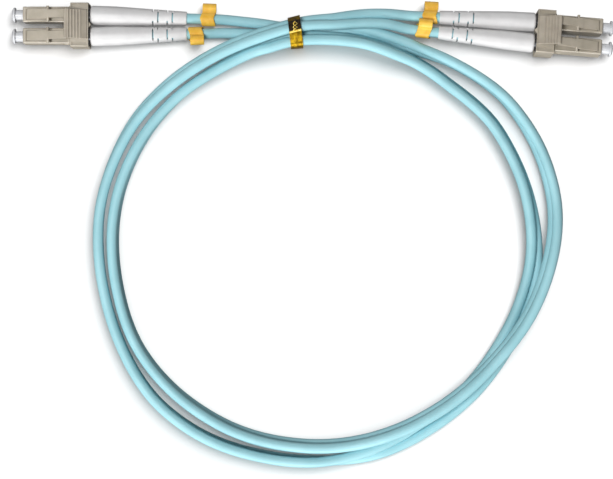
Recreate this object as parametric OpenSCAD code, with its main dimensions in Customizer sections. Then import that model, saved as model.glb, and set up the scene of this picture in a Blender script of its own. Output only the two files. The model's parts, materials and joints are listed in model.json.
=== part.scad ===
// Duplex fibre patch cord: two latching twin plugs, a double cord laid in two loops,
// four slide-on cable markers and one flat tie. Millimetres, +Z up, table at z = 0.
//
// Plug frame: X from the nose's front face towards the cord, Y across the two
// channels, Z up from the clip's underside. Channel frame: the same, with its X axis
// on the fibre axis. Tail frame: X along the boot, which leans in and droops a little.

/* [Fits] */
// Radial clearance of turning and sliding fits
running_fit = 0.05; // [0.03:0.01:0.08]
// Radial clearance between pieces that are fixed to each other
seat_fit = 0.02; // [0.01:0.01:0.04]
// Gap between pieces that follow each other along a channel
end_gap = 0.3; // [0.2:0.05:0.4]

/* [Housing] */
// Distance between the two fibre axes of a plug
pitch = 6.25; // [6.15:0.05:6.5]
// Side of the square nose
nose_w = 4.5; // [4.4:0.05:4.6]
// Length of the nose
nose_l = 13.6; // [13.5:0.05:13.65]
// Side of the square rear body
body_w = 5.6; // [5.4:0.05:5.7]
// Length of the rear body
body_l = 4.3; // [4.25:0.05:4.5]
// Chamfer along the housing's edges
housing_edge = 0.25; // [0.1:0.05:0.4]
// Ramp from the nose up to the rear body
shoulder_ramp = 0.5; // [0.4:0.05:0.6]
// Bore in the nose round the ferrule
front_bore_d = 2.6; // [2.5:0.05:2.7]
// Length of the front bore, up to the flange's stop
front_bore_l = 2.9; // [2.8:0.05:3]
// Length of the wider entry to the front bore, which takes the cap's stem
entry_l = 1.25; // [1.2:0.05:1.4]
// Spring chamber behind the stop
chamber_d = 3.2; // [3.1:0.05:3.4]
// Rim left in front of the latch's trough
trough_start = 0.9; // [0.8:0.05:1]
// Depth of the trough under the latch
trough_h = 0.3; // [0.2:0.05:0.35]
// Distance of the pocket behind the ears from the nose's front face
pocket_start = 7.9; // [7.8:0.1:8.1]
// Length of the pocket
pocket_l = 5.2; // [5:0.1:5.3]
// Wall left beside the pocket
pocket_wall = 0.4; // [0.3:0.05:0.5]
// Depth of the pocket
pocket_h = 0.4; // [0.35:0.05:0.45]
// Diameter of the round recess on the nose's side
dimple_d = 2.2; // [1.8:0.1:2.6]
// Depth of the recess and of the slot on the nose's side
side_recess = 0.2; // [0.1:0.05:0.3]
// Distance of the slot on the nose's side from its front face
side_slot_x = 9.1; // [8.8:0.1:9.6]
// Length of that slot
side_slot_l = 0.9; // [0.6:0.1:1.2]
// Height of that slot
side_slot_h = 0.35; // [0.2:0.05:0.5]

/* [Latch] */
// Distance of the latch's root from the nose's front face
latch_root_x = 1.5; // [1.4:0.05:1.6]
// Diameter of the rounded root
latch_root_d = 0.8; // [0.7:0.05:0.9]
// Width of the latch in front of the ears
latch_w = 2.85; // [2.6:0.05:3]
// Width of the latch's tail
latch_tail_w = 2.3; // [1.8:0.1:2.4]
// Thickness of the latch from its step to its tail's end
latch_t = 0.75; // [0.65:0.05:0.8]
// Height of the step across the latch's top
latch_step = 0.2; // [0.1:0.05:0.25]
// Distance from the root to the step
latch_step_l = 4.5; // [4.3:0.1:4.8]
// Distance from the root to the ears
latch_knee_l = 6.1; // [5.9:0.1:6.2]
// Rise of the underside from the root to the ears
latch_knee_rise = 1.1; // [1.05:0.05:1.15]
// Distance from the root to the tail's end
latch_tail_l = 11.8; // [11.6:0.1:11.9]
// Rise of the underside from the root to the tail's end
latch_tail_rise = 2.6; // [2.55:0.05:2.65]
// Width over both ears
ear_span = 4.5; // [4.3:0.1:4.7]
// Diameter of the ears
ear_d = 0.8; // [0.6:0.05:0.9]

/* [Clip] */
// Length of the clip along the plug
clip_l = 5.2; // [5.15:0.05:5.4]
// Length of the clip behind the backpost's collar
clip_overhang = 0.2; // [0.1:0.05:0.3]
// Thickness of the clip's top and bottom walls
clip_wall = 0.5; // [0.45:0.05:0.8]
// Thickness of the clip's side walls
clip_side = 0.45; // [0.4:0.05:0.8]
// Radius of the clip's long edges
clip_edge_r = 0.35; // [0.2:0.05:0.4]
// Length of the troughs in the clip's top
clip_trough_l = 4.4; // [4:0.1:4.8]
// Width of the troughs in the clip's top
clip_trough_w = 1; // [0.7:0.05:1.1]
// Depth of the troughs in the clip's top
clip_trough_h = 0.35; // [0.2:0.05:0.4]
// Length of the pointed prong between the boots
prong_l = 0.8; // [0.5:0.1:1.2]
// Width of the prong at its root
prong_w = 1.8; // [1.2:0.1:2.4]

/* [Trigger] */
// Width of the trigger plate
trigger_w = 8.4; // [7.8:0.1:8.6]
// Length of the trigger from its knuckle to its front edge
trigger_l = 6.4; // [6.2:0.1:6.6]
// Thickness of the trigger plate
trigger_t = 0.8; // [0.7:0.05:0.85]
// Slope of the trigger at rest, in degrees
trigger_slope = 23; // [22.6:0.2:24]
// Height of the knuckle's axis over the clip's top
knuckle_h = 0.52; // [0.5:0.01:0.6]
// Distance of the knuckle's axis from the clip's rear edge
knuckle_back = 0.7; // [0.65:0.05:0.8]
// Height of the lip behind the knuckle
lip_h = 0.7; // [0.5:0.05:0.8]
// Number of grip ribs across the trigger
rib_count = 5; // [3:1:5]
// Width of a grip rib
rib_w = 0.45; // [0.4:0.05:0.6]
// Height of a grip rib
rib_h = 0.25; // [0.15:0.01:0.3]
// Distance from one grip rib to the next
rib_pitch = 0.9; // [0.85:0.05:1]
// Distance of the first grip rib from the trigger's front edge
rib_start = 0.8; // [0.6:0.1:1]

/* [Ferrule] */
// Diameter of the ferrule
ferrule_d = 1.25; // [1.2:0.05:1.3]
// Length of the ferrule
ferrule_l = 6.5; // [6.3:0.1:6.8]
// Length of the ferrule that stands out of the nose
ferrule_out = 1.9; // [1.7:0.1:2]
// Distance that the ferrule can give way against its spring
ferrule_travel = 1; // [0.8:0.05:1]
// Chamfer round the ferrule's tip
ferrule_chamfer = 0.2; // [0.1:0.05:0.3]
// Length of the flange's collar
flange_l = 1.55; // [1.4:0.05:1.6]
// Diameter of the flange's tail
flange_tail_d = 2; // [1.9:0.05:2.05]
// Length of the flange's tail
flange_tail_l = 3; // [2.8:0.1:3.1]
// Bore for the fibre in the flange's tail
flange_bore_d = 1; // [0.95:0.05:1.1]

/* [Spring] */
// Diameter of the spring's wire
wire_d = 0.25; // [0.2:0.01:0.28]
// Number of turns
spring_turns = 6; // [5:1:7]

/* [Backpost] */
// Length of the tube inside the housing
post_tube_l = 7.4; // [7.2:0.1:7.6]
// Diameter of the collar behind the housing
post_collar_d = 5; // [4.6:0.1:5.2]
// Length of the collar
post_collar_l = 1.1; // [1:0.05:1.3]
// Diameter of the post that the jacket is crimped on
crimp_post_d = 2.7; // [2.5:0.05:2.8]
// Length of that post
crimp_post_l = 5; // [4.6:0.1:5.1]
// Bore through the backpost
post_bore_d = 1.6; // [1.4:0.05:1.8]
// Wall of the crimp sleeve
sleeve_wall = 0.45; // [0.3:0.05:0.5]
// Distance of the crimp sleeve's rear end from the boot's front
sleeve_end = 7.5; // [7.2:0.1:8]

/* [Boot] */
// Length of the boot
boot_l = 28.1; // [27.5:0.1:28.3]
// Diameter of the boot's front
boot_front_d = 5.6; // [5.5:0.05:5.7]
// Diameter of the boot's rear end
boot_rear_d = 3.9; // [3.8:0.05:4.1]
// Length of the straight front
boot_straight_l = 7.5; // [7:0.5:9]
// Radius of the boot's front edge
boot_edge_r = 0.8; // [0.4:0.1:0.9]
// Bore in the boot's front
boot_bore_d = 4.5; // [4.4:0.05:4.6]
// Width of a flex slot
slot_w = 0.4; // [0.3:0.05:0.5]
// Half the angle that a flex slot spans, in degrees
slot_half_angle = 56; // [40:2:60]

/* [Dust cap] */
// Diameter of the cap's tube
cap_tube_d = 2.25; // [2.15:0.05:2.3]
// Length of the tube inside the nose
cap_depth = 2.4; // [2.2:0.1:2.5]
// Diameter of the stem between the nose and the cap's head
cap_stem_d = 3; // [2.8:0.05:3.05]
// Diameter of the cap's head
cap_head_d = 4.4; // [4:0.1:4.8]
// Thickness of the cap's head
cap_head_t = 0.5; // [0.4:0.05:0.6]
// Height of the head's dome
cap_dome = 0.7; // [0.4:0.1:0.8]
// Length of the cap that stands out of the nose
cap_out = 3.6; // [3.4:0.1:4]

/* [Marker] */
// Length of a marker along the strand
marker_l = 4; // [3.6:0.1:4]
// Outer diameter of the marker's ring
marker_ring_d = 4.1; // [3.9:0.05:4.15]
// Diameter of the marker's lobe
marker_lobe_d = 2.8; // [2.4:0.1:3]
// Distance from the ring's axis to the lobe's
marker_lobe_out = 3.2; // [3:0.1:3.3]
// Thickness of the web between ring and lobe
marker_web = 2.2; // [1.8:0.1:2.4]
// Depth of the arrow shape of the marker's ends
marker_arrow = 0.7; // [0.4:0.1:0.8]
// Clearance of the marker's bore round a strand
marker_fit = 0.1; // [0.05:0.01:0.15]

/* [Cord] */
// Diameter of one strand
strand_d = 3; // [2.9:0.05:3.05]
// Diameter of the buffered fibre inside the plug
fibre_d = 0.9; // [0.8:0.05:0.92]

/* [Tie] */
// Width of the tie's ribbon
tie_w = 3.6; // [3:0.1:4]
// Thickness of the tie's ribbon
tie_t = 0.4; // [0.3:0.05:0.45]
// Clearance between the ribbon and the strands
tie_fit = 0.12; // [0.1:0.01:0.2]
// Length of the twisted tails
tail_l = 3.2; // [2:0.1:3.6]
// Width of one tail
tail_w = 1.6; // [1.2:0.1:1.8]
// Full turns in the twisted tails
tail_turns = 1; // [0.5:0.25:1.5]

/* [Hidden] */
$fn = 48;

BEIGE = [0.71, 0.67, 0.59];
WHITE = [0.92, 0.91, 0.91];
CLEAR = [0.88, 0.90, 0.94];
GOLD = [0.94, 0.75, 0.27];
AQUA = [0.68, 0.87, 0.90];
CERAMIC = [0.95, 0.95, 0.92];
STEEL = [0.72, 0.73, 0.75];

// Sides of the swept tubes, and steps in one turn of a spring and in a cap's dome
STRAND_SIDES = 8;
FIBRE_SIDES = 12;
WIRE_SIDES = 6;
TURN_STEPS = 8;
DOME_STEPS = 5;

// Each end of the cord: its name, the place of the nose, the plug's yaw and roll, the
// boot's droop, and the points along the tail that the cord's straight part has
LEFT = ["left", [-84.2, 1.05], 0, 0, 1.8, [5.4, 12.4, 19.4, 26.4, 32.4, 38.4]];
RIGHT = ["right", [84.65, -3.05], 175.3, 6.8, 0.4, [5.4, 12.4, 19.4, 26.4, 36]];
ENDS = [LEFT, RIGHT];
CHANNELS = [1, 2];
converge = 1.7;

function end_name(e) = e[0];
function nose_at(e) = e[1];
function yaw(e) = e[2];
function roll(e) = e[3];
function droop(e) = e[4];
function tail_stations(e) = e[5];
function side(c) = c == 1 ? 1 : -1;

// Each marker: its distance from the boot, turn of its lobe, and whether its arrow
// points back along the strand
function marker_place(e, c) =
    end_name(e) == "left"
        ? (c == 1 ? [3.9, 0, false] : [0.4, 132, false])
        : (c == 1 ? [2.1, 120, true] : [0.5, 180, true]);

// Stations along a channel and heights in the plug
latch_pivot = [latch_root_x, nose_w / 2 - running_fit];
housing_end = nose_l + body_l;
clip_fit = running_fit;
clip_h = body_w + 2 * clip_fit + 2 * clip_wall;
clip_w = pitch + body_w + 2 * clip_fit + 2 * clip_side;
axis_h = clip_h / 2;
clip_end = housing_end + post_collar_l + clip_overhang;
clip_front = clip_end - clip_l;
tail_x = clip_end + end_gap;
flange_front = front_bore_l + running_fit;
ferrule_rear = ferrule_l - ferrule_out;
flange_rear = flange_front + flange_l;
post_front = housing_end - post_tube_l;
fibre_front = ferrule_rear + ferrule_travel + end_gap;
strand_front = tail_stations(LEFT)[0];
cover = 0.01;
// Longer than any piece that a cut goes through
beyond = 40;

/* ---- Shapes shared by the pieces ---- */

// Extrudes a (y, z) outline along +X
module along_x(l) {
    rotate([90, 0, 90]) linear_extrude(l) children();
}

// Extrudes an (x, z) outline across Y, centred
module across_y(w) {
    rotate([90, 0, 0]) linear_extrude(w, center = true) children();
}

// A round bar on the X axis from x0 to x1
module rod(d, x0, x1) {
    translate([x0, 0, 0]) rotate([0, 90, 0]) cylinder(d = d, h = x1 - x0);
}

// A profile of (x, radius) points turned round the X axis
module turned(points) {
    rotate([0, 90, 0]) rotate_extrude() polygon([for (p = points) [p[1], p[0]]]);
}

// A box from one corner to the opposite one
module box(low, high) {
    translate(low) cube(high - low);
}

// A rectangle centred on the origin, with round corners
module round_rect(w, h, r) {
    square([w - 2 * r, h], center = true);
    square([w, h - 2 * r], center = true);
    for (x = [-1, 1], y = [-1, 1])
        translate([x * (w / 2 - r), y * (h / 2 - r)]) circle(r);
}

// A square bar with chamfered long edges and a ramped front
module bar(w, x0, x1, edge, ramp) {
    h = w / 2;
    side_view = [[x0, -h + ramp], [x0 + ramp, -h], [x1, -h], [x1, h], [x0 + ramp, h], [x0, h - ramp]];
    intersection() {
        translate([x0, 0, 0]) along_x(x1 - x0)
            polygon([for (q = [0:3], p = [[h, h - edge], [h - edge, h]]) quarter_turns(p, q)]);
        across_y(w + 1) polygon(side_view);
        translate([0, 0, -w]) linear_extrude(2 * w) polygon(side_view);
    }
}

function quarter_turns(p, q) = q == 0 ? p : quarter_turns([-p[1], p[0]], q - 1);

/* ---- Frames ---- */

// Puts a plug frame in its place on the table
module at_plug(e) {
    translate([nose_at(e)[0], nose_at(e)[1], clip_w / 2 * sin(roll(e))])
        rotate([0, 0, yaw(e)]) rotate([roll(e), 0, 0]) children();
}

// Puts a channel frame in its place in the plug
module at_channel(e, c) {
    at_plug(e) translate([0, side(c) * pitch / 2, axis_h]) children();
}

// Puts a tail frame in its place behind the clip
module at_tail(e, c) {
    at_channel(e, c) translate([tail_x, 0, 0])
        rotate([0, droop(e), -side(c) * converge]) children();
}

/* ---- Pieces of one channel ---- */

module housing() {
    trough_w = latch_w + 6 * running_fit;
    h = nose_w / 2;
    color(BEIGE) difference() {
        union() {
            bar(nose_w, 0, nose_l + shoulder_ramp, housing_edge, housing_edge);
            bar(body_w, nose_l, housing_end, housing_edge, shoulder_ramp);
        }
        rod(front_bore_d, -1, front_bore_l + cover);
        rod(cap_stem_d + 2 * running_fit, -1, entry_l);
        rod(chamber_d, front_bore_l, housing_end + 1);
        box([trough_start, -trough_w / 2, h - trough_h], [pocket_start + cover, trough_w / 2, nose_w]);
        box([pocket_start, pocket_wall - h, h - pocket_h], [pocket_start + pocket_l, h - pocket_wall, nose_w]);
        translate([latch_pivot[0], 0, latch_pivot[1]])
            across_y(trough_w) circle(d = latch_root_d + 2 * running_fit);
        for (s = [-1, 1]) side_recesses(s);
    }
}

// The round recess and the short slot on one side of the nose
module side_recesses(s) {
    inside = nose_w / 2 - side_recess;
    translate([nose_l - dimple_d / 2 - 2 * running_fit, 0, 0])
        rotate([-s * 90, 0, 0]) translate([0, 0, inside]) cylinder(d = dimple_d, h = nose_w);
    translate([side_slot_x + side_slot_l / 2, s * (inside + nose_w / 2), 0])
        cube([side_slot_l, nose_w, side_slot_h], center = true);
}

module latch() {
    knee = [latch_knee_l, latch_knee_rise];
    tail = [latch_tail_l, latch_tail_rise];
    slope = atan2(tail[1] - knee[1], tail[0] - knee[0]);
    up = latch_t * [-sin(slope), cos(slope)];
    step_low = [latch_step_l, latch_step_l * knee[1] / knee[0] + latch_t - latch_step];
    color(BEIGE) translate([latch_pivot[0], 0, latch_pivot[1]]) {
        across_y(latch_w) {
            circle(d = latch_root_d);
            polygon([[0, 0], knee, knee + up, step_low + [0, latch_step], step_low, [0, latch_root_d / 2]]);
        }
        across_y(latch_tail_w) polygon([knee, tail, tail + up, knee + up]);
        translate([knee[0] + up[0] / 2, 0, knee[1] + up[1] / 2]) across_y(ear_span) circle(d = ear_d);
    }
}

module ferrule() {
    r = ferrule_d / 2;
    color(CERAMIC) turned([
        [-ferrule_out, 0], [-ferrule_out, r - ferrule_chamfer], [-ferrule_out + ferrule_chamfer, r],
        [ferrule_rear, r], [ferrule_rear, 0]]);
}

module ferrule_flange() {
    collar_d = chamber_d - 4 * running_fit;
    color(STEEL) difference() {
        union() {
            rod(collar_d, flange_front, flange_rear);
            rod(flange_tail_d, flange_rear - cover, flange_rear + flange_tail_l);
        }
        rod(ferrule_d + 2 * seat_fit, flange_front - 1, ferrule_rear + seat_fit);
        rod(flange_bore_d, flange_front, flange_rear + flange_tail_l + 1);
    }
}

module spring() {
    low = flange_rear + wire_d / 2 + running_fit;
    high = post_front - wire_d / 2 - running_fit;
    r = (flange_tail_d + chamber_d) / 4;
    steps = spring_turns * TURN_STEPS;
    path = [for (i = [0:steps])
        let (a = 360 * i / TURN_STEPS, x = low + (high - low) * i / steps)
        [x, r * cos(a), r * sin(a)]];
    color(STEEL) tube(path, wire_d, WIRE_SIDES, [1, 0, 0]);
}

module backpost(e, c) {
    color(STEEL) {
        at_channel(e, c) difference() {
            union() {
                rod(chamber_d - 2 * running_fit, post_front, housing_end + cover);
                rod(post_collar_d, housing_end + cover, housing_end + post_collar_l);
            }
            rod(post_bore_d, post_front - 1, tail_x);
        }
        at_tail(e, c) difference() {
            rod(crimp_post_d, housing_end + post_collar_l - tail_x - running_fit, crimp_post_l);
            rod(post_bore_d, -2, crimp_post_l + 1);
        }
    }
}

module crimp_sleeve() {
    bore = strand_d + 2 * running_fit;
    front = boot_edge_r / 2;
    color(STEEL) difference() {
        rod(bore + 2 * sleeve_wall, front, sleeve_end);
        rod(bore, front - 1, sleeve_end + 1);
    }
}

// The flex slots: distance of each row from the boot's rear end, and its turn
FLEX_ROWS = [[10, 0], [8.5, 90], [5.8, 0], [4.3, 90]];

module boot(c) {
    bore_l = sleeve_end + end_gap;
    r = boot_front_d / 2;
    color(WHITE) difference() {
        rotate([0, 90, 0]) rotate_extrude() {
            translate([r - boot_edge_r, boot_edge_r]) circle(boot_edge_r);
            polygon([[0, 0], [r - boot_edge_r, 0], [r - boot_edge_r, boot_edge_r], [r, boot_edge_r],
                [r, boot_straight_l], [boot_rear_d / 2, boot_l], [0, boot_l]]);
        }
        rod(boot_bore_d, -1, bore_l);
        rod(strand_d + 4 * running_fit, bore_l - cover, boot_l + 1);
        for (row = FLEX_ROWS) flex_slots(boot_l - row[0], row[1] + (c == 1 ? 0 : 90));
    }
}

// One row of two flex slots, on opposite sides of the boot
module flex_slots(x, turn) {
    reach = boot_front_d / 2;
    for (half = [0, 180]) rotate([turn + half, 0, 0]) translate([x, 0, 0]) along_x(slot_w)
        polygon([[0, 0], [reach, -reach * tan(slot_half_angle)], [reach, reach * tan(slot_half_angle)]]);
}

// Points on an arc of the domed head, from x at its middle out to its rim
function dome(x) =
    let (half = cap_head_d / 2, r = (half * half + cap_dome * cap_dome) / (2 * cap_dome))
    [for (k = [0:DOME_STEPS]) let (a = asin(half / r) * k / DOME_STEPS) [x + r * (1 - cos(a)), r * sin(a)]];

module dust_cap() {
    tube_r = cap_tube_d / 2;
    stem_r = cap_stem_d / 2;
    shoulder = -2 * running_fit;
    back = dome(-cap_out + cap_head_t);
    color(CLEAR) difference() {
        union() {
            turned(concat(dome(-cap_out), [for (k = [DOME_STEPS:-1:0]) back[k]]));
            turned([[-cap_out + cap_head_t / 2, 0], [-cap_out + cap_head_t / 2, stem_r], [shoulder, stem_r],
                [shoulder, tube_r], [cap_depth, tube_r], [cap_depth, 0]]);
        }
        rod(ferrule_d + 2 * running_fit, -ferrule_out - end_gap, cap_depth + 1);
    }
}

// A marker on the X axis, from x = 0, with its lobe towards +Y
module marker_body() {
    half = marker_ring_d / 2;
    far = marker_lobe_out + marker_lobe_d;
    arrow = [[0, -far], [marker_l, -far], [marker_l, -half], [marker_l - marker_arrow, 0], [marker_l, half],
        [marker_l, far], [0, far], [0, half], [-marker_arrow, 0], [0, -half]];
    color(GOLD) translate([marker_arrow, 0, 0]) intersection() {
        translate([-marker_arrow, 0, 0]) along_x(marker_l + marker_arrow) difference() {
            union() {
                circle(d = marker_ring_d);
                translate([marker_lobe_out, 0]) circle(d = marker_lobe_d);
                translate([0, -marker_web / 2]) square([marker_lobe_out, marker_web]);
            }
            circle(d = strand_d + 2 * marker_fit);
        }
        translate([0, 0, -far]) linear_extrude(2 * far) polygon(arrow);
    }
}

module marker(e, c) {
    place = marker_place(e, c);
    at_tail(e, c) translate([boot_l + place[0], 0, 0]) rotate([place[1], 0, 0])
        if (place[2]) translate([marker_l + marker_arrow, 0, 0]) mirror([1, 0, 0]) marker_body();
        else marker_body();
}

// The buffered fibre from the ferrule's flange to the strand's end
module fibre(e, c) {
    inside = plug_point(e, [fibre_front, side(c) * pitch / 2, axis_h]);
    path = [inside, tail_point(e, side(c), 0), tail_point(e, side(c), strand_front)];
    color(AQUA) tube(path, fibre_d, FIBRE_SIDES, [0, 0, 1]);
}

/* ---- Pieces of one plug ---- */

knuckle_d = trigger_t + 2 * running_fit;
knuckle_x = clip_end - knuckle_back;
knuckle_z = clip_h + knuckle_h;

module clip() {
    window = body_w + 2 * clip_fit;
    groove_d = knuckle_d + 2 * running_fit;
    trough_x = clip_front + (clip_l - clip_trough_l) / 2;
    trough_y = clip_w / 2 - clip_side - clip_trough_w;
    color(BEIGE) difference() {
        union() {
            translate([clip_front, 0, clip_h / 2]) along_x(clip_l) round_rect(clip_w, clip_h, clip_edge_r);
            box([knuckle_x, -trigger_w / 2, clip_h - clip_wall], [clip_end, trigger_w / 2, clip_h + lip_h]);
            translate([0, 0, clip_h - clip_wall + running_fit]) linear_extrude(clip_wall - running_fit)
                polygon([[clip_end - 1, -prong_w / 2], [clip_end, -prong_w / 2], [clip_end + prong_l, 0],
                    [clip_end, prong_w / 2], [clip_end - 1, prong_w / 2]]);
        }
        for (s = [-1, 1]) {
            box([clip_front - 1, s * pitch / 2 - window / 2, clip_wall],
                [clip_end + 1, s * pitch / 2 + window / 2, clip_h - clip_wall]);
            translate([trough_x, s > 0 ? trough_y : -trough_y - clip_trough_w, clip_h - clip_trough_h])
                cube([clip_trough_l, clip_trough_w, 1]);
        }
        translate([knuckle_x, 0, knuckle_z]) across_y(trigger_w + 1) circle(d = groove_d);
    }
}

module trigger() {
    half = trigger_t / 2;
    ribs = [for (i = [0:rib_count - 1])
        let (front = -trigger_l + rib_start + i * rib_pitch, rear = front + rib_w, top = half + rib_h)
        each [[front, half], [front + rib_h, top], [rear, top], [rear, half]]];
    color(BEIGE) translate([knuckle_x, 0, knuckle_z]) rotate([0, trigger_slope, 0])
        union() {
            across_y(trigger_w) circle(d = knuckle_d);
            across_y(trigger_w) polygon(concat(
                [[0, -half], [-trigger_l, -half], [-trigger_l, half / 2], [-trigger_l + half, half]],
                ribs,
                [[0, half]]));
        }
}

/* ---- Cord ---- */

// Rows of the pair's route: x, y, lift off the table, roll of the pair. The pair lies
// flat at roll 0 and stands on edge at roll 90.
ROUTE = [
    [-14.5, 0.2, 0.4, 0], [-4.6, -1.2, 0.65, 0], [6, -0.9, 0.4, 10], [15, -1.3, 0.1, 24],
    [24, -3.6, 0.1, 48], [32, -6.1, 0.1, 78], [42.5, -10.3, 0.1, 92], [56, -19.5, 0.1, 88],
    [66.2, -34.1, 0.3, 78], [71, -51, 1.2, 73], [69.6, -66.9, 3.2, 73], [63.7, -82.8, 3.6, 76],
    [54.3, -95.8, 3.6, 78], [41.8, -107.7, 3.6, 76], [26.4, -116.6, 3.9, 74], [9.7, -121.4, 2, 74],
    [-7.6, -121.4, 0.2, 74], [-24.1, -116.7, 0.2, 76], [-39.6, -106.6, 0.1, 80], [-50.7, -93.2, 0.1, 84],
    [-56.3, -78, 0.1, 85], [-58.2, -61, 0.1, 85], [-55.6, -45, 0.1, 86], [-48, -29.6, 0.1, 90],
    [-36.2, -17.2, 0.2, 98], [-20.5, -8, 1.4, 108], [-12.5, -5.3, 3.3, 114], [-4.8, -3.2, 4.15, 120],
    [5, -3, 4.1, 116], [15.5, -4.4, 3.9, 108], [25, -7.7, 3, 105], [32, -10.6, 1, 106],
    [41, -16.7, 0.1, 108], [53, -27.4, 0.1, 110], [62, -44.5, 0.1, 112], [65.3, -62, 0.1, 130],
    [63.5, -77, 0.1, 160], [57.5, -91, 0.1, 174], [47.5, -105, 0.1, 178], [34, -116, 0.1, 170],
    [18.5, -123.8, 0.1, 130], [1.5, -126.5, 0.1, 88], [-15.7, -124.7, 0.1, 82], [-31.8, -119.1, 0.1, 84],
    [-45.8, -108.6, 0.1, 88], [-55.1, -94.1, 0.1, 92], [-60.7, -77.2, 0.1, 95], [-62.5, -60, 0.1, 95],
    [-60, -44.2, 0.1, 98], [-51.8, -27, 0.4, 106], [-38.4, -13.9, 2.2, 114], [-22, -4.8, 3.9, 118],
    [-4.8, 0.7, 4.25, 120], [6, 1.8, 4.1, 135], [14.5, 2.7, 4, 152], [22, 2.8, 3.4, 166]
];

// Half the distance between the pair's two strands
pair_half = 1.6;
// Radius that the route's heights were chosen for
route_r = 1.5;

function unit(v) = v / norm(v);

// Horizontal left normal of the route at row i
function route_normal(i) =
    let (
        a = ROUTE[max(i - 1, 0)],
        b = ROUTE[min(i + 1, len(ROUTE) - 1)],
        t = unit([b[0] - a[0], b[1] - a[1]])
    )
    [-t[1], t[0]];

// The centre of one strand at row i, s = 1 for strand a and -1 for strand b
function route_point(i, s) =
    let (row = ROUTE[i], n = route_normal(i), out = pair_half * cos(row[3]), rise = pair_half * sin(row[3]))
    [row[0] + s * out * n[0], row[1] + s * out * n[1], row[2] + route_r + abs(rise) + s * rise];

// A point of the plug frame, in the table's frame
function plug_point(e, p) =
    let (r = roll(e), w = yaw(e), y = p[1] * cos(r) - p[2] * sin(r), z = p[1] * sin(r) + p[2] * cos(r))
    [nose_at(e)[0] + p[0] * cos(w) - y * sin(w), nose_at(e)[1] + p[0] * sin(w) + y * cos(w),
        z + clip_w / 2 * sin(r)];

// The point at distance t along a tail frame's X axis
function tail_point(e, s, t) =
    let (level = t * cos(droop(e)), drop = t * sin(droop(e)))
    plug_point(e, [tail_x + level * cos(converge), s * (pitch / 2 - level * sin(converge)), axis_h - drop]);

// The point halfway between p[1] and p[2] on a smooth curve through four points
function halfway(p) = (9 * (p[1] + p[2]) - p[0] - p[3]) / 16;

// A strand's path: straight out of both plugs, smooth between them
function strand_path(s) =
    let (
        from = [for (t = tail_stations(LEFT)) tail_point(LEFT, s, t)],
        to = [for (i = [len(tail_stations(RIGHT)) - 1:-1:0]) tail_point(RIGHT, s, tail_stations(RIGHT)[i])],
        laid = [for (i = [0:len(ROUTE) - 1]) route_point(i, s)],
        guide = concat([from[len(from) - 2], from[len(from) - 1]], laid, [to[0], to[1]]),
        smooth = [for (i = [1:len(guide) - 3]) each [guide[i], halfway([for (k = [-1:2]) guide[i + k]])]]
    )
    concat([for (i = [0:len(from) - 2]) from[i]], smooth, to);

// Direction of a path at point i, halfway between the two stretches that meet there
function heading(path, i) =
    let (
        before = i > 0 ? unit(path[i] - path[i - 1]) : [0, 0, 0],
        after = i < len(path) - 1 ? unit(path[i + 1] - path[i]) : [0, 0, 0]
    )
    unit(before + after);

// Sweeps a round tube of the given sides along a path that never runs along `up`
module tube(path, d, sides, up) {
    last = len(path) - 1;
    rings = [for (i = [0:last])
        let (t = heading(path, i), n = unit(cross(up, t)), b = cross(t, n))
        for (k = [0:sides - 1])
            let (a = 360 * (k + 0.5) / sides)
            path[i] + d / 2 * (cos(a) * n + sin(a) * b)];
    walls = [for (i = [0:last - 1], k = [0:sides - 1])
        let (a = i * sides + k, b = i * sides + (k + 1) % sides)
        each [[a, a + sides, b], [b, a + sides, b + sides]]];
    front = [for (k = [1:sides - 2]) [0, k, k + 1]];
    rear = [for (k = [1:sides - 2]) [last * sides, last * sides + k + 1, last * sides + k]];
    polyhedron(rings, concat(front, walls, rear), convexity = 10);
}

// Least distance between two strands' surfaces, over the stretches that lie more than
// `apart` rings from each other along the cord
function least_gap(p, q, apart) =
    min([for (i = [0:len(p) - 2], j = [0:len(q) - 2]) if (abs(i - j) > apart)
        min(to_stretch(p[i], q[j], q[j + 1]), to_stretch((p[i] + p[i + 1]) / 2, q[j], q[j + 1]))]) - strand_d;

function to_stretch(p, a, b) =
    let (d = b - a, t = max(0, min(1, (p - a) * d / (d * d))))
    norm(p - a - t * d);

function path_length(p) = sum([for (i = [1:len(p) - 1]) norm(p[i] - p[i - 1])], 0);
function sum(v, i) = i >= len(v) ? 0 : v[i] + sum(v, i + 1);

module report_cord() {
    a = strand_path(1);
    b = strand_path(-1);
    echo(rings = len(a), length_a = path_length(a), length_b = path_length(b));
    echo(gap_a_to_itself = least_gap(a, a, 4), gap_b_to_itself = least_gap(b, b, 4),
        gap_a_to_b_on_another_loop = least_gap(a, b, 4));
    echo(lowest = min([for (p = concat(a, b)) p[2]]) - strand_d / 2);
}

module strand(s) {
    color(AQUA) tube(strand_path(s), strand_d, STRAND_SIDES, [0, 0, 1]);
}

/* ---- Tie ---- */

// The rows of the route that pass through the tie, and the direction of the bundle
TIED_ROWS = [1, 27, 52];
tie_lean = 6.5;
tie_centre = [-4.7, -1.3];
tails_droop = 25;

// Six straight bars round the strands where they pass through the tie
module bundle(r, l) {
    for (i = TIED_ROWS, s = [-1, 1]) {
        ahead = unit(route_point(i + 1, s) - route_point(i - 1, s));
        translate(route_point(i, s)) rotate([0, 90 - asin(ahead[2]), atan2(ahead[1], ahead[0])])
            cylinder(r = r, h = l, center = true, $fn = 32);
    }
}

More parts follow.
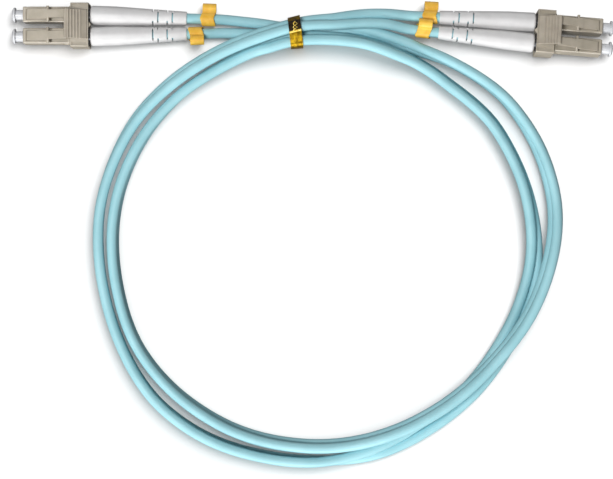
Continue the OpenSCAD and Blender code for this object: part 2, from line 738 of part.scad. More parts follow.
// The tails leave the ribbon just over the highest strand, which is strand a in the
// last tied row
module twist_tie() {
    inside = strand_d / 2 + tie_fit;
    highest = route_point(TIED_ROWS[2], 1);
    reach = inside + norm([tie_t, tail_w / 2]);
    color(GOLD) {
        difference() {
            intersection() {
                hull() bundle(inside + tie_t, 3 * tie_w);
                translate([tie_centre[0], tie_centre[1], 0]) rotate([0, 0, tie_lean])
                    cube([tie_w, beyond, beyond], center = true);
            }
            hull() bundle(inside, 4 * tie_w);
        }
        translate([tie_centre[0], highest[1], highest[2]] + reach * [0, sin(tails_droop), cos(tails_droop)])
            rotate([-90 - tails_droop, 0, 0])
            linear_extrude(tail_l, twist = 360 * tail_turns, slices = 12)
                for (s = [-1, 1]) translate([s * tie_t / 2, 0]) square([tie_t, tail_w], center = true);
    }
}

/* ---- Nodes ---- */

CHANNEL_PIECES = ["housing", "latch", "ferrule", "ferrule_flange", "spring", "backpost",
    "crimp_sleeve", "boot", "dust_cap", "marker", "fibre"];
PLUG_PIECES = ["clip", "trigger"];

for (e = ENDS, c = CHANNELS) {
    plug = end_name(e);
    at_channel(e, c) housing();
    at_channel(e, c) latch();
    at_channel(e, c) ferrule();
    at_channel(e, c) ferrule_flange();
    at_channel(e, c) spring();
    backpost(e, c);
    at_tail(e, c) crimp_sleeve();
    at_tail(e, c) boot(c);
    at_channel(e, c) dust_cap();
    marker(e, c);
    fibre(e, c);
}
for (e = ENDS) {
    at_plug(e) clip();
    at_plug(e) trigger();
}
strand(1);  // strand_a
report_cord();  // strand_a
strand(-1);  // strand_b
twist_tie();
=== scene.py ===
"""Duplex fibre patch cord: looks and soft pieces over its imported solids.

Metres, in the solids' own frame: +X from the left plug to the right one, +Z up from the
table. A plug frame has X from the nose towards the cord and Z up from the clip's underside.
"""
import json
import logging
import math
from collections.abc import Sequence
from dataclasses import dataclass, replace
from enum import Enum

import bmesh
import bpy
from mathutils import Matrix, Vector


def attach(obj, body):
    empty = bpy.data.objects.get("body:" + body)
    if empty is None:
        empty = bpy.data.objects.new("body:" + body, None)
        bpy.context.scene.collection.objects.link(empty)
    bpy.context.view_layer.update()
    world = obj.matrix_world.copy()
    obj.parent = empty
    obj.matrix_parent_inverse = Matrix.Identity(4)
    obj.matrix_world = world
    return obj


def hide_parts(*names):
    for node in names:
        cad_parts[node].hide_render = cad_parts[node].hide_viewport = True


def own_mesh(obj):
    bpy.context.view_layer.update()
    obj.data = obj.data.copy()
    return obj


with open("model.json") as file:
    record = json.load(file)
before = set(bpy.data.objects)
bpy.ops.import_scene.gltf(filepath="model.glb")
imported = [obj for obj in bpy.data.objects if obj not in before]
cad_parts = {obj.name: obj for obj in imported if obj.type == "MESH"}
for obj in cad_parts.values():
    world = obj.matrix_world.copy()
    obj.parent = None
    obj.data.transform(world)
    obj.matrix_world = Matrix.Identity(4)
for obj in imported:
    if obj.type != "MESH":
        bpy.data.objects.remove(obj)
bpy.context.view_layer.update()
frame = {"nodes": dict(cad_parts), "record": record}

BODIES = frame["record"]["behaviour"]["bodies"]
BODY_OF = {node: body for body, nodes in BODIES.items() for node in nodes}
ROOT = "cord"
MM = 0.001
UP = Vector((0.0, 0.0, 1.0))
Colour = tuple[float, float, float]
Values = tuple[tuple[str, object], ...]
log = logging.getLogger("patch_cord")


# ---- Finishes ----

# Values that most of a noise lies between
NOISE_LOW = 0.3
NOISE_HIGH = 0.7
# Patches of wear across one patch of tone
WEAR_PER_PATCH = 3
# How much the grain of drawn metal shrinks along each axis
DRAWN_STRETCH = (0.12, 1, 1)


def linear(red: float, green: float, blue: float) -> Colour:
    """Turns a display colour into a linear one, by the sRGB curve.

    Args:
        red: Red, from 0 to 255.
        green: Green, from 0 to 255.
        blue: Blue, from 0 to 255.

    Returns:
        The linear colour.
    """
    shares = (value / 255 for value in (red, green, blue))
    return tuple(s / 12.92 if s <= 0.04045 else ((s + 0.055) / 1.055) ** 2.4 for s in shares)


class Relief(Enum):
    """The kinds of fine relief that a finish can have."""

    STIPPLE = "stipple"
    DRAWN = "drawn"


class Surface:
    """A node material in the making."""

    def __init__(self, name: str) -> None:
        """Starts the material.

        Args:
            name: The material's name.
        """
        self.material = bpy.data.materials.new(name)
        self.material.use_nodes = True
        self.tree = self.material.node_tree
        self.shader = self.tree.nodes["Principled BSDF"]
        self.place = self.add("TexCoord").outputs["Object"]

    def add(self, kind: str, inputs: dict[str, object] | None = None) -> bpy.types.Node:
        """Adds a node.

        Args:
            kind: The node's type, without its ShaderNode prefix.
            inputs: A value, or an output to link from, for each named input.

        Returns:
            The node.
        """
        node = self.tree.nodes.new("ShaderNode" + kind)
        for key, value in (inputs or {}).items():
            self.feed(node.inputs[key], value)
        return node

    def feed(self, socket: bpy.types.NodeSocket, value: object) -> None:
        """Sets a socket's value, or links it from an output.

        Args:
            socket: The socket.
            value: The value or the output.
        """
        if isinstance(value, bpy.types.NodeSocket):
            self.tree.links.new(value, socket)
        else:
            socket.default_value = value

    def noise(self, size: float, detail: float = 3.0,
              stretch: Sequence[float] = (1, 1, 1)) -> bpy.types.NodeSocket:
        """Adds a noise of blobs of one size.

        Args:
            size: Size of a blob, in metres.
            detail: Octaves of finer noise.
            stretch: How much the blobs shrink along each axis.

        Returns:
            The noise, from 0 to 1.
        """
        spot = self.add("Mapping", {"Vector": self.place, "Scale": stretch}).outputs["Vector"]
        texture = self.add("TexNoise", {"Vector": spot, "Scale": 1 / size, "Detail": detail})
        return texture.outputs["Fac"]

    def between(self, share: bpy.types.NodeSocket, low: Sequence[float], high: Sequence[float],
                start: float = 0.35, end: float = 0.65) -> bpy.types.NodeSocket:
        """Adds a blend of two colours.

        Args:
            share: What the blend follows.
            low: Colour at the start.
            high: Colour at the end.
            start: Value of share that is still all low.
            end: Value of share that is already all high.

        Returns:
            The colour.
        """
        ramp = self.add("ValToRGB", {"Fac": share})
        first, last = ramp.color_ramp.elements
        first.position, first.color = start, (*low, 1)
        last.position, last.color = end, (*high, 1)
        return ramp.outputs["Color"]

    def spread(self, share: bpy.types.NodeSocket, low: float, high: float) -> bpy.types.NodeSocket:
        """Adds a mapping of a noise to a range of values and returns it."""
        return self.add("MapRange", {"Value": share, "From Min": NOISE_LOW, "From Max": NOISE_HIGH,
                                     "To Min": low, "To Max": high}).outputs["Result"]

    def relief(self, height: bpy.types.NodeSocket, depth: float) -> None:
        """Adds a bump to the shader.

        Args:
            height: The pattern of the relief, from 0 to 1.
            depth: Its depth in metres.
        """
        bump = self.add("Bump", {"Height": height, "Distance": depth, "Strength": 1.0})
        self.feed(self.shader.inputs["Normal"], bump.outputs["Normal"])


@dataclass(frozen=True)
class Finish:
    """One finish: two tones in soft patches, an uneven gloss and a fine relief.

    Attributes:
        slot: The record's material slot.
        tone: Main colour.
        shade: Darker colour of the patches.
        patch: Size of a patch.
        roughness: Least and greatest roughness.
        grain: Size of the relief's grain.
        depth: Depth of the relief.
        relief: Kind of the relief.
        values: Values that are the same all over, for the shader's own sockets.
        part: Tells two finishes of one slot apart.
    """

    slot: str
    tone: Colour
    shade: Colour
    patch: float
    roughness: tuple[float, float]
    grain: float
    depth: float
    relief: Relief = Relief.STIPPLE
    values: Values = ()
    part: str = "finish"

    def material(self) -> bpy.types.Material:
        """Returns the finish's material, made at its first use."""
        return bpy.data.materials.get(f"{self.slot}_{self.part}") or self.make()

    def make(self) -> bpy.types.Material:
        """Makes the finish's material.

        Returns:
            The material.
        """
        surface = Surface(f"{self.slot}_{self.part}")
        for name, value in self.values:
            surface.feed(surface.shader.inputs[name], value)
        patches = surface.noise(self.patch)
        colour = surface.between(patches, self.shade, self.tone)
        surface.feed(surface.shader.inputs["Base Color"], colour)
        wear = surface.noise(self.patch / WEAR_PER_PATCH)
        surface.feed(surface.shader.inputs["Roughness"], surface.spread(wear, *self.roughness))
        surface.relief(self.pattern(surface), self.depth)
        return surface.material

    def pattern(self, surface: Surface) -> bpy.types.NodeSocket:
        """Adds the pattern of the relief.

        Args:
            surface: The material in the making.

        Returns:
            The pattern, from 0 to 1.
        """
        if self.relief is Relief.DRAWN:
            return surface.noise(self.grain, detail=2.0, stretch=DRAWN_STRETCH)
        return surface.noise(self.grain, detail=4.0)


def under_skin(weight: float, radius: Colour, scale: float) -> Values:
    """Gives the shader values for light that passes under a plastic's skin.

    Args:
        weight: Share of the light that does.
        radius: How far red, green and blue go.
        scale: Factor on the radius.

    Returns:
        The values, by socket.
    """
    return (("Subsurface Weight", weight), ("Subsurface Radius", radius), ("Subsurface Scale", scale))


BEIGE = Finish("beige_plastic", linear(183, 174, 159), linear(171, 163, 147), 3 * MM, (0.30, 0.40),
               0.12 * MM, 0.006 * MM, values=under_skin(0.08, (0.001, 0.0008, 0.0005), 0.6))
# The trigger plate's finish: the same beige, only a little darker
PLATE = replace(BEIGE, tone=linear(178, 169, 154), shade=linear(164, 155, 141), part="plate")
BOOT = Finish("white_boot", linear(222, 221, 221), linear(214, 213, 213), 4 * MM, (0.42, 0.52),
              0.10 * MM, 0.006 * MM, values=under_skin(0.15, (0.001, 0.001, 0.001), 0.8))
CAP = Finish("clear_cap", linear(226, 227, 230), linear(218, 220, 224), 2 * MM, (0.25, 0.38),
             0.10 * MM, 0.003 * MM, values=(("Transmission Weight", 0.1), ("IOR", 1.46),
                                            *under_skin(0.35, (0.001, 0.001, 0.001), 1.2)))
MARKER = Finish("gold_marker", linear(252, 202, 82), linear(240, 184, 62), 2 * MM, (0.38, 0.48),
                0.10 * MM, 0.006 * MM, values=(("Specular IOR Level", 0.35),
                                               *under_skin(0.12, (0.001, 0.0006, 0.0002), 0.6)))
JACKET = Finish("aqua_jacket", linear(164, 214, 223), linear(155, 206, 215), 9 * MM, (0.46, 0.56),
                0.16 * MM, 0.006 * MM, values=(("Specular IOR Level", 0.35),
                                               *under_skin(0.10, (0.0006, 0.001, 0.001), 0.8)))
BUFFER = Finish("fibre_buffer", linear(120, 205, 214), linear(104, 190, 200), 3 * MM, (0.25, 0.35),
                0.10 * MM, 0.003 * MM)
CERAMIC = Finish("ceramic", linear(246, 245, 238), linear(238, 236, 228), 1.5 * MM, (0.08, 0.16),
                 0.06 * MM, 0.001 * MM, values=(("IOR", 2.1),))
PLATED = Finish("plated_metal", linear(112, 113, 116), linear(98, 99, 102), 1.5 * MM, (0.30, 0.42),
                0.08 * MM, 0.002 * MM, Relief.DRAWN, (("Metallic", 1.0),))
WIRE = Finish("spring_steel", linear(188, 190, 196), linear(168, 170, 178), 1 * MM, (0.18, 0.30),
              0.05 * MM, 0.002 * MM, Relief.DRAWN, (("Metallic", 1.0),))
FILM = Finish("gold_tie", linear(158, 127, 10), linear(116, 89, 5), 0.9 * MM, (0.36, 0.50),
              1.1 * MM, 0.12 * MM, values=(("Metallic", 0.85),))
# Paler, less metallic copy of the tie's gold for the fold and the twisted wires: painted highlight over
# the gold they have
GLINT = replace(FILM, tone=linear(255, 232, 130), shade=linear(255, 214, 84),
                values=(("Metallic", 0.3),), part="fold")
# Dark brown copy of the tie's gold: painted shade on the ribbon's slope behind the fold
PAINTED_SHADE = Finish("gold_tie", linear(62, 46, 20), linear(34, 24, 9), 0.8 * MM, (0.30, 0.45),
              0.8 * MM, 0.10 * MM, values=(("Metallic", 0.6),), part="knot")


# ---- Meshes ----

# Angle in degrees from which an edge stays sharp
SHARP_ANGLE = 40.0
# Angle in degrees under which two faces of a solid are one
FLAT_ANGLE = 1.0
# Distance under which two vertices of a solid are one
MERGE = 0.0005 * MM


def whole(bm: bmesh.types.BMesh) -> list[object]:
    """Returns all the vertices, edges and faces of a bmesh."""
    return bm.verts[:] + bm.edges[:] + bm.faces[:]


def linked(name: str, data: bpy.types.ID) -> bpy.types.Object:
    """Makes an object and puts it in the scene.

    Args:
        name: The object's name.
        data: Its mesh, curve, light or camera.

    Returns:
        The object.
    """
    made = bpy.data.objects.new(name, data)
    bpy.context.scene.collection.objects.link(made)
    return made


def finished(name: str, bm: bmesh.types.BMesh, finish: Finish, body: str = ROOT) -> bpy.types.Object:
    """Makes a piece from a bmesh, smooth but for its sharp edges, and hangs it on its body.

    Args:
        name: The piece's name.
        bm: Its shape, which is freed.
        finish: Its finish.
        body: The body that it rides on.

    Returns:
        The piece.
    """
    mesh = bpy.data.meshes.new(name)
    bm.to_mesh(mesh)
    bm.free()
    mesh.shade_smooth()
    mesh.set_sharp_from_angle(angle=math.radians(SHARP_ANGLE))
    mesh.materials.append(finish.material())
    piece = linked(name, mesh)
    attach(piece, body)
    return piece


def even_normals(piece: bpy.types.Object) -> bpy.types.Object:
    """Lets large faces lead a piece's shading, so that only its rounded edges curve.

    Args:
        piece: The piece.

    Returns:
        The same piece.
    """
    weighted = piece.modifiers.new("even_normals", "WEIGHTED_NORMAL")
    weighted.keep_sharp = True
    return piece


@dataclass
class Moulding:
    """A rigid piece that keeps its solid's shape and gets rounded edges.

    Attributes:
        node: The solid's name.
        finish: Its finish.
        edge: Radius of its rounded edges.
        angle: Least angle in degrees between two faces whose edge is rounded.
        segments: Steps across a rounded edge.
    """

    node: str
    finish: Finish
    edge: float = 0.1 * MM
    angle: float = 28.0
    segments: int = 2

    def copy(self) -> bmesh.types.BMesh:
        """Copies the solid and merges its vertices.

        Returns:
            The copy.
        """
        bm = bmesh.new()
        bm.from_mesh(frame["nodes"][self.node].data)
        bmesh.ops.remove_doubles(bm, verts=bm.verts, dist=MERGE)
        return bm

    def shape(self) -> bmesh.types.BMesh:
        """Rounds the edges of a copy of the solid.

        Returns:
            The rounded shape.
        """
        bm = self.copy()
        bmesh.ops.dissolve_limit(bm, angle_limit=math.radians(FLAT_ANGLE), verts=bm.verts,
                                 edges=bm.edges)
        edges = [e for e in bm.edges if e.calc_face_angle(0) > math.radians(self.angle)]
        bmesh.ops.bevel(bm, geom=edges, offset=self.edge, offset_type="OFFSET",
                        segments=self.segments, profile=0.5, affect="EDGES", clamp_overlap=True,
                        material=-1)
        return bm

    def build(self) -> bpy.types.Object:
        """Builds the piece and returns it."""
        return self.place(self.shape())

    def place(self, bm: bmesh.types.BMesh) -> bpy.types.Object:
        """Puts a shape in the solid's place.

        Args:
            bm: The shape, which is freed.

        Returns:
            The piece.
        """
        piece = even_normals(finished(self.node + "_shell", bm, self.finish, BODY_OF[self.node]))
        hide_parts(self.node)
        return piece


def dress(node: str, finish: Finish) -> None:
    """Gives a solid that stays as it is its finish.

    Args:
        node: The solid's name.
        finish: Its finish.
    """
    solid = frame["nodes"][node]
    solid.data.materials.clear()
    solid.data.materials.append(finish.material())


# ---- Places ----


@dataclass(frozen=True)
class Plug:
    """One end of the cord: where its plug lies and how its two tails run.

    Attributes:
        name: Prefix of its nodes.
        nose: Place of the middle between the two noses on the table.
        yaw: Turn about Z, in degrees.
        roll: Turn about the plug's own axis, in degrees.
        droop: How far the tails dip, in degrees.
        stations: Distances along a tail that its strand passes straight through.
        pitch: Distance between the plug's two channels.
        clip_width: Width of the clip, on whose side a rolled plug rests.
        axis_height: Height of the channels over the clip's underside.
        tail_start: Distance of the tails' start behind the nose.
        converge: How far each tail leans towards the other, in degrees.
    """

    name: str
    nose: tuple[float, float]
    yaw: float
    roll: float
    droop: float
    stations: tuple[float, ...]
    pitch: float = 6.25 * MM
    clip_width: float = 12.85 * MM
    axis_height: float = 3.35 * MM
    tail_start: float = 19.5 * MM
    converge: float = 1.7

    def place(self) -> Matrix:
        """Gives the plug's frame.

        Returns:
            The matrix from the plug's frame to the table's.
        """
        lift = self.clip_width / 2 * math.sin(math.radians(self.roll))
        yaw = Matrix.Rotation(math.radians(self.yaw), 4, "Z")
        roll = Matrix.Rotation(math.radians(self.roll), 4, "X")
        return Matrix.Translation((*self.nose, lift)) @ yaw @ roll

    def tail(self, side: int) -> Matrix:
        """Gives the frame of a tail, with X along the strand.

        Args:
            side: 1 for channel 1 and -1 for channel 2.

        Returns:
            The matrix from the tail's frame to the table's.
        """
        start = Matrix.Translation((self.tail_start, side * self.pitch / 2, self.axis_height))
        lean = Matrix.Rotation(math.radians(-side * self.converge), 4, "Z")
        dip = Matrix.Rotation(math.radians(self.droop), 4, "Y")
        return self.place() @ start @ lean @ dip

    def tail_points(self, side: int) -> list[Vector]:
        """Returns the points of a tail that its strand passes straight through."""
        return [self.tail(side) @ Vector((along, 0, 0)) for along in self.stations]


LEFT = Plug("left", nose=(-0.0842, 0.00105), yaw=0, roll=0, droop=1.8,
            stations=(0.0054, 0.0124, 0.0194, 0.0264, 0.0324, 0.0384))
RIGHT = Plug("right", nose=(0.08465, -0.00305), yaw=175.3, roll=6.8, droop=0.4,
             stations=(0.0054, 0.0124, 0.0194, 0.0264, 0.036))
# The side of the plug's axis that each channel lies on
SIDES = {1: 1, 2: -1}

# Rows of the pair's route: x, y, lift off the table, and roll of the pair in degrees
ROUTE = (
    (-0.0145, 0.0002, 0.0004, 0), (-0.0046, -0.0012, 0.00065, 0), (0.006, -0.0009, 0.0004, 10),
    (0.015, -0.0013, 0.0001, 24), (0.024, -0.0036, 0.0001, 48), (0.032, -0.0061, 0.0001, 78),
    (0.0425, -0.0103, 0.0001, 92), (0.056, -0.0195, 0.0001, 88), (0.0662, -0.0341, 0.0003, 78),
    (0.071, -0.051, 0.0012, 73), (0.0696, -0.0669, 0.0032, 73), (0.0637, -0.0828, 0.0036, 76),
    (0.0543, -0.0958, 0.0036, 78), (0.0418, -0.1077, 0.0036, 76),
    (0.0264, -0.1166, 0.0039, 74), (0.0097, -0.1214, 0.002, 74),
    (-0.0076, -0.1214, 0.0002, 74), (-0.0241, -0.1167, 0.0002, 76),
    (-0.0396, -0.1066, 0.0001, 80), (-0.0507, -0.0932, 0.0001, 84),
    (-0.0563, -0.078, 0.0001, 85), (-0.0582, -0.061, 0.0001, 85),
    (-0.0556, -0.045, 0.0001, 86), (-0.048, -0.0296, 0.0001, 90),
    (-0.0362, -0.0172, 0.0002, 98), (-0.0205, -0.008, 0.0014, 108),
    (-0.0125, -0.0053, 0.0033, 114), (-0.0048, -0.0032, 0.00415, 120),
    (0.005, -0.003, 0.0041, 116), (0.0155, -0.0044, 0.0039, 108), (0.025, -0.0077, 0.003, 105),
    (0.032, -0.0106, 0.001, 106), (0.041, -0.0167, 0.0001, 108), (0.053, -0.0274, 0.0001, 110),
    (0.062, -0.0445, 0.0001, 112), (0.0653, -0.062, 0.0001, 130),
    (0.0635, -0.077, 0.0001, 160), (0.0575, -0.091, 0.0001, 174),
    (0.0475, -0.105, 0.0001, 178), (0.034, -0.116, 0.0001, 170),
    (0.0185, -0.1238, 0.0001, 130), (0.0015, -0.1265, 0.0001, 88),
    (-0.0157, -0.1247, 0.0001, 82), (-0.0318, -0.1191, 0.0001, 84),
    (-0.0458, -0.1086, 0.0001, 88), (-0.0551, -0.0941, 0.0001, 92),
    (-0.0607, -0.0772, 0.0001, 95), (-0.0625, -0.06, 0.0001, 95), (-0.06, -0.0442, 0.0001, 98),
    (-0.0518, -0.027, 0.0004, 106), (-0.0384, -0.0139, 0.0022, 114),
    (-0.022, -0.0048, 0.0039, 118), (-0.0048, 0.0007, 0.00425, 120),
    (0.006, 0.0018, 0.0041, 135), (0.0145, 0.0027, 0.004, 152), (0.022, 0.0028, 0.0034, 166),
)


# ---- Cord ----


def halfway(points: Sequence[Vector]) -> Vector:
    """Returns the point halfway between the middle two of four points on a smooth curve."""
    return (9 * (points[1] + points[2]) - points[0] - points[3]) / 16


def refine(points: Sequence[Vector]) -> list[Vector]:
    """Adds a point between each two points of a path, on a smooth curve.

    Args:
        points: The path.

    Returns:
        The path with nearly twice as many points.
    """
    padded = [2 * points[0] - points[1], *points, 2 * points[-1] - points[-2]]
    fine = []
    for i in range(1, len(padded) - 2):
        fine += [padded[i], halfway(padded[i - 1:i + 3])]
    return [*fine, points[-1]]


@dataclass
class CordPair:
    """The double cord: two round strands and the thin web between them.

    Attributes:
        diameter: Diameter of a strand.
        pair_half: Half the distance between the strands' axes.
        route_radius: Radius that the route's lifts were chosen for.
        web_width: Width of the web, from inside one strand to inside the other.
        web_thickness: Thickness of the web.
        section: Resolution of a strand's round section.
        refinements: How often the points of a strand's path are doubled.
    """

    diameter: float = 3.0 * MM
    pair_half: float = 1.6 * MM
    route_radius: float = 1.5 * MM
    web_width: float = 1.0 * MM
    web_thickness: float = 0.45 * MM
    section: int = 7
    refinements: int = 2

    def normal(self, row: int) -> Vector:
        """Gives the route's left normal at a row.

        Args:
            row: Number of the row.

        Returns:
            The normal, which is level.
        """
        before = Vector(ROUTE[max(row - 1, 0)][:2])
        after = Vector(ROUTE[min(row + 1, len(ROUTE) - 1)][:2])
        along = (after - before).normalized()
        return Vector((-along.y, along.x, 0))

    def laid_point(self, row: int, side: int) -> Vector:
        """Gives a strand's centre at a row of the route.

        Args:
            row: Number of the row.
            side: 1 for strand a and -1 for strand b.

        Returns:
            The point.
        """
        x, y, lift, roll = ROUTE[row]
        out = self.pair_half * math.cos(math.radians(roll))
        rise = self.pair_half * math.sin(math.radians(roll))
        middle = Vector((x, y, lift + self.route_radius + abs(rise) + side * rise))
        return middle + side * out * self.normal(row)

    def path(self, side: int) -> list[Vector]:
        """Gives the centreline of a strand.

        Args:
            side: 1 for strand a and -1 for strand b.

        Returns:
            The centreline's points.
        """
        start = LEFT.tail_points(side)
        end = RIGHT.tail_points(side)[::-1]
        laid = [self.laid_point(row, side) for row in range(len(ROUTE))]
        guide = [*start[-2:], *laid, *end[:2]]
        smooth = []
        for i in range(1, len(guide) - 2):
            smooth += [guide[i], halfway(guide[i - 1:i + 3])]
        points = [*start[:-1], *smooth, *end]
        for _ in range(self.refinements):
            points = refine(points)
        return points

    def strand(self, letter: str, side: int) -> bpy.types.Object:
        """Args:
            letter: The strand's letter.
            side: 1 for strand a and -1 for strand b.

        Returns:
            The strand.
        """
        points = self.path(side)
        line = bpy.data.curves.new("jacket_" + letter, "CURVE")
        line.dimensions = "3D"
        line.bevel_depth = self.diameter / 2
        line.bevel_resolution = self.section
        line.use_fill_caps = True
        spline = line.splines.new("POLY")
        spline.points.add(len(points) - 1)
        for spot, point in zip(spline.points, points):
            spot.co = (*point, 1)
        spline.use_smooth = True
        line.materials.append(JACKET.material())
        piece = linked("jacket_" + letter, line)
        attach(piece, ROOT)
        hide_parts("strand_" + letter)
        return piece

    def web(self) -> bpy.types.Object:
        """Builds the web that joins the strands from the route's first row to its last.

        Returns:
            The web.
        """
        step = 2 ** self.refinements
        # Before the route's first row lie the left tail's points and one halfway to the row
        first = step * (len(LEFT.stations) + 1)
        last = first + step * 2 * (len(ROUTE) - 1)
        bm = bmesh.new()
        rails: tuple[list, list] = ([], [])
        for a, b in zip(self.path(1)[first:last + 1], self.path(-1)[first:last + 1]):
            middle, across = (a + b) / 2, (a - b).normalized() * self.web_width / 2
            for rail, spot in zip(rails, (middle + across, middle - across)):
                rail.append(bm.verts.new(spot))
        edges = [bm.edges.new(pair) for rail in rails for pair in zip(rail, rail[1:])]
        bmesh.ops.bridge_loops(bm, edges=edges)
        bmesh.ops.recalc_face_normals(bm, faces=bm.faces)
        bmesh.ops.solidify(bm, geom=bm.faces, thickness=self.web_thickness)
        bmesh.ops.recalc_face_normals(bm, faces=bm.faces)
        return finished("jacket_web", bm, JACKET)

    def build(self) -> None:
        """Builds both strands and the web."""
        for letter, side in (("a", 1), ("b", -1)):
            self.strand(letter, side)
        self.web()
        log.info("cord: two strands and their web")


# ---- Plugs, boots and markers ----


@dataclass
class CoilSpring:
    """A ferrule's spring.

    Attributes:
        plug: The plug that it sits in.
        number: Its channel.
        front: Distance of its front seat behind the nose. Not used.
        rear: Distance of its rear seat behind the nose. Not used.
        stroke: How far the ferrule gives way. Not used.
    """

    plug: Plug
    number: int
    front: float = 4.5 * MM
    rear: float = 10.5 * MM
    stroke: float = 1.0 * MM

    def build(self) -> None:
        """Builds the spring from its solid, on a mesh of its own."""
        wire = Moulding(f"{self.plug.name}_spring_{self.number}", WIRE)
        place = self.plug.place()
        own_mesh(wire.place(wire.copy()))


@dataclass
class PlugLooks:
    """The pieces of one plug and of its two channels.

    Attributes:
        plug: The end of the cord that they belong to.
    """

    plug: Plug

    def build(self) -> None:
        """Builds the plug's pieces and dresses what stays as it is."""
        name = self.plug.name
        Moulding(name + "_clip", BEIGE, 0.18 * MM).build()
        Moulding(name + "_trigger", PLATE, 0.12 * MM).build()
        for channel in SIDES:
            self.channel(channel)
        log.info("%s plug: clip, trigger and two channels", name)

    def channel(self, number: int) -> None:
        """Builds and dresses the pieces of a channel.

        Args:
            number: The channel's number.
        """
        name = self.plug.name
        Moulding(f"{name}_housing_{number}", BEIGE, 0.15 * MM).build()
        Moulding(f"{name}_latch_{number}", BEIGE, 0.12 * MM).build()
        Moulding(f"{name}_boot_{number}", BOOT, 0.06 * MM).build()
        Moulding(f"{name}_dust_cap_{number}", CAP, 0.08 * MM).build()
        Moulding(f"{name}_marker_{number}", MARKER, 0.16 * MM, segments=3).build()
        dress(f"{name}_ferrule_{number}", CERAMIC)
        dress(f"{name}_ferrule_flange_{number}", PLATED)
        dress(f"{name}_backpost_{number}", PLATED)
        dress(f"{name}_crimp_sleeve_{number}", PLATED)
        CoilSpring(self.plug, number).build()
        dress(f"{name}_fibre_{number}", BUFFER)


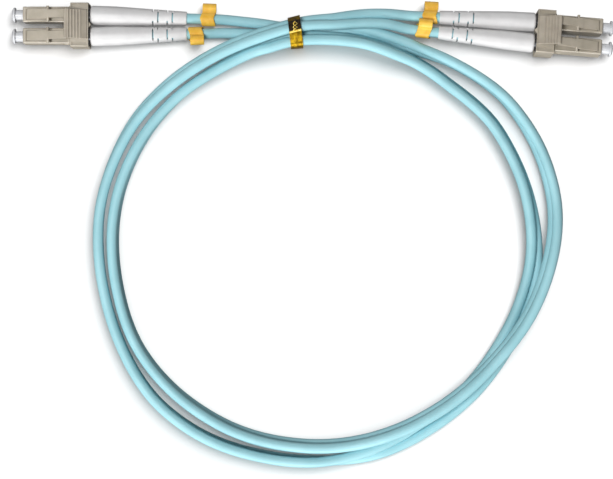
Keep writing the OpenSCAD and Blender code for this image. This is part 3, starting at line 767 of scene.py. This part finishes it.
@dataclass
class TwistTie:
    """The flat tie round three runs of the cord, with its ends twisted together.

    Attributes:
        edge: Radius of its rounded edges.
        middle: Place of its middle along the cord.
        fold: Place across the cord of the fold behind which the ends are twisted.
        lean: Turn of the fold against the plugs' axis, in degrees.
        width: Width of the ribbon.
        bead: Diameter of the fold.
        tail: Half the width of the solid's tails, which the wires take the place of.
        depth: How far down behind the fold the ribbon takes the painted shade.
        slope: How far the twisted wires point down, in degrees.
        length: Length of the twisted wires.
        wire: Diameter of a wire.
        coil: Radius of the wires' turns.
        turns: Turns of the wires.
        steps: Steps in one turn.
        wire_sides: Sides of a wire.
        bead_sides: Sides of the fold.
        shave_step: Angle in degrees between the planes that shave the solid's tails off.
    """

    edge: float = 0.12 * MM
    middle: float = -4.7 * MM
    fold: float = -1.35 * MM
    lean: float = 14.0
    width: float = 3.5 * MM
    bead: float = 0.6 * MM
    tail: float = 1.0 * MM
    depth: float = 1.6 * MM
    slope: float = 4.0
    length: float = 2.6 * MM
    wire: float = 0.26 * MM
    coil: float = 0.55 * MM
    turns: float = 1.25
    steps: int = 20
    wire_sides: int = 10
    bead_sides: int = 16
    shave_step: int = 15

    def twisted_wire(self, number: int, top: float) -> bpy.types.Object:
        """Builds one of the wires that wind round each other behind the fold, in a paler gold that
        paints a highlight over their own gold.

        Args:
            number: 1 or 2, for wires on opposite sides of the twist.
            top: Height of the ribbon at the fold.

        Returns:
            The wire.
        """
        start = Vector((self.middle, self.fold, top + self.coil))
        slope = math.radians(self.slope)
        along = Vector((0, math.cos(slope), -math.sin(slope)))
        phase = Matrix.Rotation(math.pi * number, 4, along)
        aside = Matrix.Translation((self.coil, 0, 0))
        upright = Matrix.Rotation(-math.pi / 2 - slope, 4, "X")
        total = round(self.turns * self.steps)
        bm = bmesh.new()
        bmesh.ops.create_circle(bm, cap_ends=True, segments=self.wire_sides, radius=self.wire / 2,
                                matrix=Matrix.Translation(start) @ phase @ aside @ upright)
        bmesh.ops.spin(bm, geom=whole(bm), cent=start, axis=along, dvec=along * self.length / total,
                       angle=math.tau * self.turns, steps=total)
        bmesh.ops.recalc_face_normals(bm, faces=bm.faces)
        return finished(f"tie_wire_{number}", bm, GLINT)

    def folded_edge(self, top: float) -> bpy.types.Object:
        """Builds the fold, a round bead across the ribbon, in a paler gold that paints a highlight
        along it.

        Args:
            top: Height of the ribbon there.

        Returns:
            The bead.
        """
        place = Matrix.Translation((self.middle, self.fold, top))
        across = Matrix.Rotation(math.radians(self.lean), 4, "Z") @ Matrix.Rotation(math.pi / 2, 4, "Y")
        bm = bmesh.new()
        bmesh.ops.create_cone(bm, cap_ends=True, segments=self.bead_sides, radius1=self.bead / 2,
                              radius2=self.bead / 2, depth=self.width, matrix=place @ across)
        return finished("tie_crease_1", bm, GLINT)

    def shave(self, bm: bmesh.types.BMesh) -> None:
        """Cuts the solid's tails off at the ribbon's own rounded outline.

        Args:
            bm: The tie's shape.
        """
        rim = [vert.co.copy() for vert in bm.verts if abs(vert.co.x - self.middle) > self.tail]
        for degrees in range(0, 90, self.shave_step):
            out = Vector((0, math.cos(math.radians(degrees)), math.sin(math.radians(degrees))))
            bmesh.ops.bisect_plane(bm, geom=whole(bm), plane_no=out,
                                   plane_co=out * max(co.dot(out) for co in rim), clear_outer=True)
            bmesh.ops.holes_fill(bm, edges=[edge for edge in bm.edges if edge.is_boundary])

    def build(self) -> None:
        """Builds the tie."""
        ribbon = Moulding("twist_tie", FILM, self.edge)
        bm = ribbon.shape()
        self.shave(bm)
        behind = Matrix.Rotation(math.radians(self.lean), 3, "Z") @ Vector((0, 1, 0))
        line = Vector((self.middle, self.fold, 0))
        cut = bmesh.ops.bisect_plane(bm, geom=whole(bm), plane_co=line, plane_no=behind)
        top = max(part.co.z for part in cut["geom_cut"] if isinstance(part, bmesh.types.BMVert))
        floor = top - self.depth
        bmesh.ops.bisect_plane(bm, geom=whole(bm), plane_co=(0, 0, floor), plane_no=UP)
        # Faces behind the fold and above that cut take the dark foil: painted shade on the ribbon's far
        # slope
        for face in bm.faces:
            spot = face.calc_center_median()
            face.material_index = int((spot - line).dot(behind) > 0 and spot.z > floor)
        ribbon.place(bm).data.materials.append(PAINTED_SHADE.material())
        self.folded_edge(top)
        for number in (1, 2):
            self.twisted_wire(number, top)
        log.info("tie: ribbon, fold and two twisted wires")


# ---- Studio ----


class Reach(Enum):
    """What a light falls on, as its link to the table top says."""

    TABLE = "INCLUDE"
    REST = "EXCLUDE"


@dataclass(frozen=True)
class Lamp:
    """A soft square light.

    Attributes:
        name: Its name.
        place: Where it hangs.
        size: Its side.
        watts: Its power.
        reach: What it falls on.
    """

    name: str
    place: tuple[float, float, float]
    size: float
    watts: float
    reach: Reach


LAMPS = (
    Lamp("table_light", (0.30, 0.36, 1.0), 0.75, 10.0, Reach.TABLE),
    Lamp("table_fill", (0.0, -0.1, 1.2), 1.5, 9.5, Reach.TABLE),
    Lamp("key_light", (-0.35, -0.22, 1.0), 0.35, 8.4, Reach.REST),
    Lamp("side_light", (-0.1, -1.2, 0.3), 0.6, 13.0, Reach.REST),
    Lamp("back_light", (0.2, 1.2, 0.18), 0.6, 3.0, Reach.REST),
)


@dataclass
class Studio:
    """The camera, the table and the lights.

    Attributes:
        eye: Place of the camera, which looks straight down.
        lens: Focal length in millimetres.
        table_size: Side of the table.
        table: Colour of the table.
        table_roughness: Roughness of the table.
        target: Place near the cord's middle that the lights face.
        sky: Strength of the sky.
    """

    eye: tuple[float, float, float] = (-0.001475, -0.0615, 0.480)
    lens: float = 95.58
    table_size: float = 4.0
    table: Colour = (0.93, 0.93, 0.93)
    table_roughness: float = 0.8
    target: tuple[float, float, float] = (0, -0.05, 0)
    sky: float = 0.16

    def camera(self) -> None:
        """Makes the camera."""
        data = bpy.data.cameras.new("camera")
        data.lens = self.lens
        camera = linked("camera", data)
        camera.location = self.eye
        bpy.context.scene.camera = camera

    def floor(self) -> bpy.types.Object:
        """Makes the table top, which throws no light back on the cord.

        Returns:
            The table top.
        """
        bm = bmesh.new()
        bmesh.ops.create_grid(bm, x_segments=1, y_segments=1, size=self.table_size / 2)
        mesh = bpy.data.meshes.new("table_top")
        bm.to_mesh(mesh)
        bm.free()
        surface = Surface("table_paper")
        surface.feed(surface.shader.inputs["Base Color"], (*self.table, 1))
        surface.feed(surface.shader.inputs["Roughness"], self.table_roughness)
        mesh.materials.append(surface.material)
        table = linked("table_top", mesh)
        table.visible_diffuse = False
        table.visible_glossy = False
        return table

    def light(self, lamp: Lamp, table: bpy.types.Object) -> None:
        """Makes a light that faces the middle of the cord.

        Args:
            lamp: Its place, size, power and reach.
            table: The table top.
        """
        data = bpy.data.lights.new(lamp.name, "AREA")
        data.size = lamp.size
        data.energy = lamp.watts
        light = linked(lamp.name, data)
        light.location = lamp.place
        facing = Vector(self.target) - Vector(lamp.place)
        light.rotation_euler = facing.to_track_quat("-Z", "Y").to_euler()
        lit = bpy.data.collections.new(lamp.name + "_reach")
        lit.objects.link(table)
        lit.collection_objects[0].light_linking.link_state = lamp.reach.value
        light.light_linking.receiver_collection = lit

    def lights(self, table: bpy.types.Object) -> None:
        """Makes the lights and the sky.

        Args:
            table: The table top, which has lights of its own.
        """
        for lamp in LAMPS:
            self.light(lamp, table)
        sky = bpy.data.worlds.new("sky")
        sky.use_nodes = True
        ground = sky.node_tree.nodes["Background"]
        ground.inputs["Color"].default_value = (1.0, 1.0, 1.0, 1)
        ground.inputs["Strength"].default_value = self.sky
        bpy.context.scene.world = sky
        bpy.context.scene.view_settings.view_transform = "Standard"


def main() -> None:
    """Builds the camera, the cord, the plugs, the tie and the light."""
    logging.basicConfig(level=logging.INFO, format="%(name)s: %(message)s")
    studio = Studio()
    studio.camera()
    CordPair().build()
    for plug in (LEFT, RIGHT):
        PlugLooks(plug).build()
    TwistTie().build()
    studio.lights(studio.floor())


if __name__ == "__main__":
    main()
